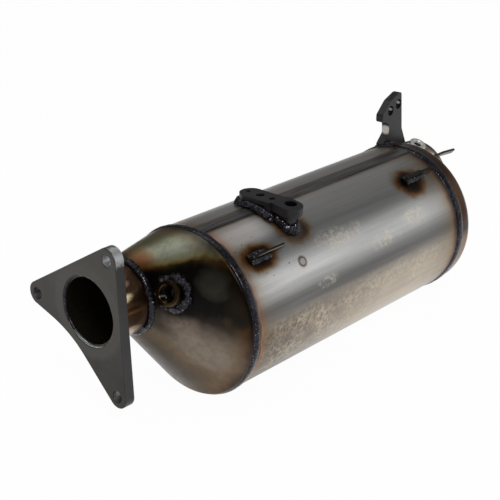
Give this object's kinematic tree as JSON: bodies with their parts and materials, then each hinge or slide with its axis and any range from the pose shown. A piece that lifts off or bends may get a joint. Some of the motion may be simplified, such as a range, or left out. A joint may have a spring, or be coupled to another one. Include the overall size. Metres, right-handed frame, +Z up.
{
  "type": "diesel particulate filter",
  "caption": "Canned wall-flow exhaust filter with eccentric end cones, a flanged inlet pipe, sensor bosses, welded mounting brackets and shield tabs.",
  "frame": {"origin": "middle of the inlet flange's front face, on the gas axis", "axes": "+X along the gas flow and the barrel, +Z up as in the picture, +Y away from the camera"},
  "size_m": [0.493, 0.1961, 0.2029],
  "materials": {
    "flange_steel": "matt, lightly oxidised, worn bright at one corner",
    "tinted_pipe": "heat-tinted stainless, straw to violet",
    "tinted_cone": "heat-tinted stainless with soot",
    "weld_metal": "rippled, dark oxide with glints",
    "boss_steel": "turned, heat-tinted brown",
    "bright_boss_steel": "turned, clean",
    "barrel_steel": "drawn stainless, mottled, tinted beside the welds",
    "seam_steel": "planished weld seam, grey",
    "rear_cone_steel": "heat-tinted stainless, tan",
    "bracket_steel": "black, satin",
    "tab_steel": "dark grey, satin",
    "filter_ceramic": "porous, matt",
    "mat_fibre": "fibrous, matt",
    "ring_mesh": "knitted wire, dull"
  },
  "bodies": {
    "root": {"inlet_flange": "flange_steel", "inlet_pipe": "tinted_pipe", "inlet_flange_weld": "weld_metal", "inlet_bore_weld": "weld_metal", "inlet_cone": "tinted_cone", "inlet_pipe_weld": "weld_metal", "inlet_sensor_boss": "boss_steel", "inlet_boss_weld": "weld_metal", "barrel": "barrel_steel", "barrel_seam": "seam_steel", "front_rim_weld": "weld_metal", "rear_rim_weld": "weld_metal", "outlet_cone": "rear_cone_steel", "outlet_pipe": "rear_cone_steel", "outlet_pipe_weld": "weld_metal", "outlet_joint_ring": "rear_cone_steel", "outlet_ring_weld": "weld_metal", "outlet_sensor_boss": "bright_boss_steel", "outlet_boss_weld": "weld_metal", "front_bracket": "bracket_steel", "front_bracket_weld": "weld_metal", "rear_bracket": "bracket_steel", "rear_bracket_weld": "weld_metal", "front_shield_tab": "tab_steel", "front_tab_weld": "weld_metal", "rear_shield_tab": "tab_steel", "rear_tab_weld": "weld_metal", "outlet_shield_tab": "tab_steel", "outlet_tab_weld": "weld_metal", "filter_monolith": "filter_ceramic", "support_mat": "mat_fibre", "front_retaining_ring": "ring_mesh", "rear_retaining_ring": "ring_mesh"}
  },
  "joints": []
}
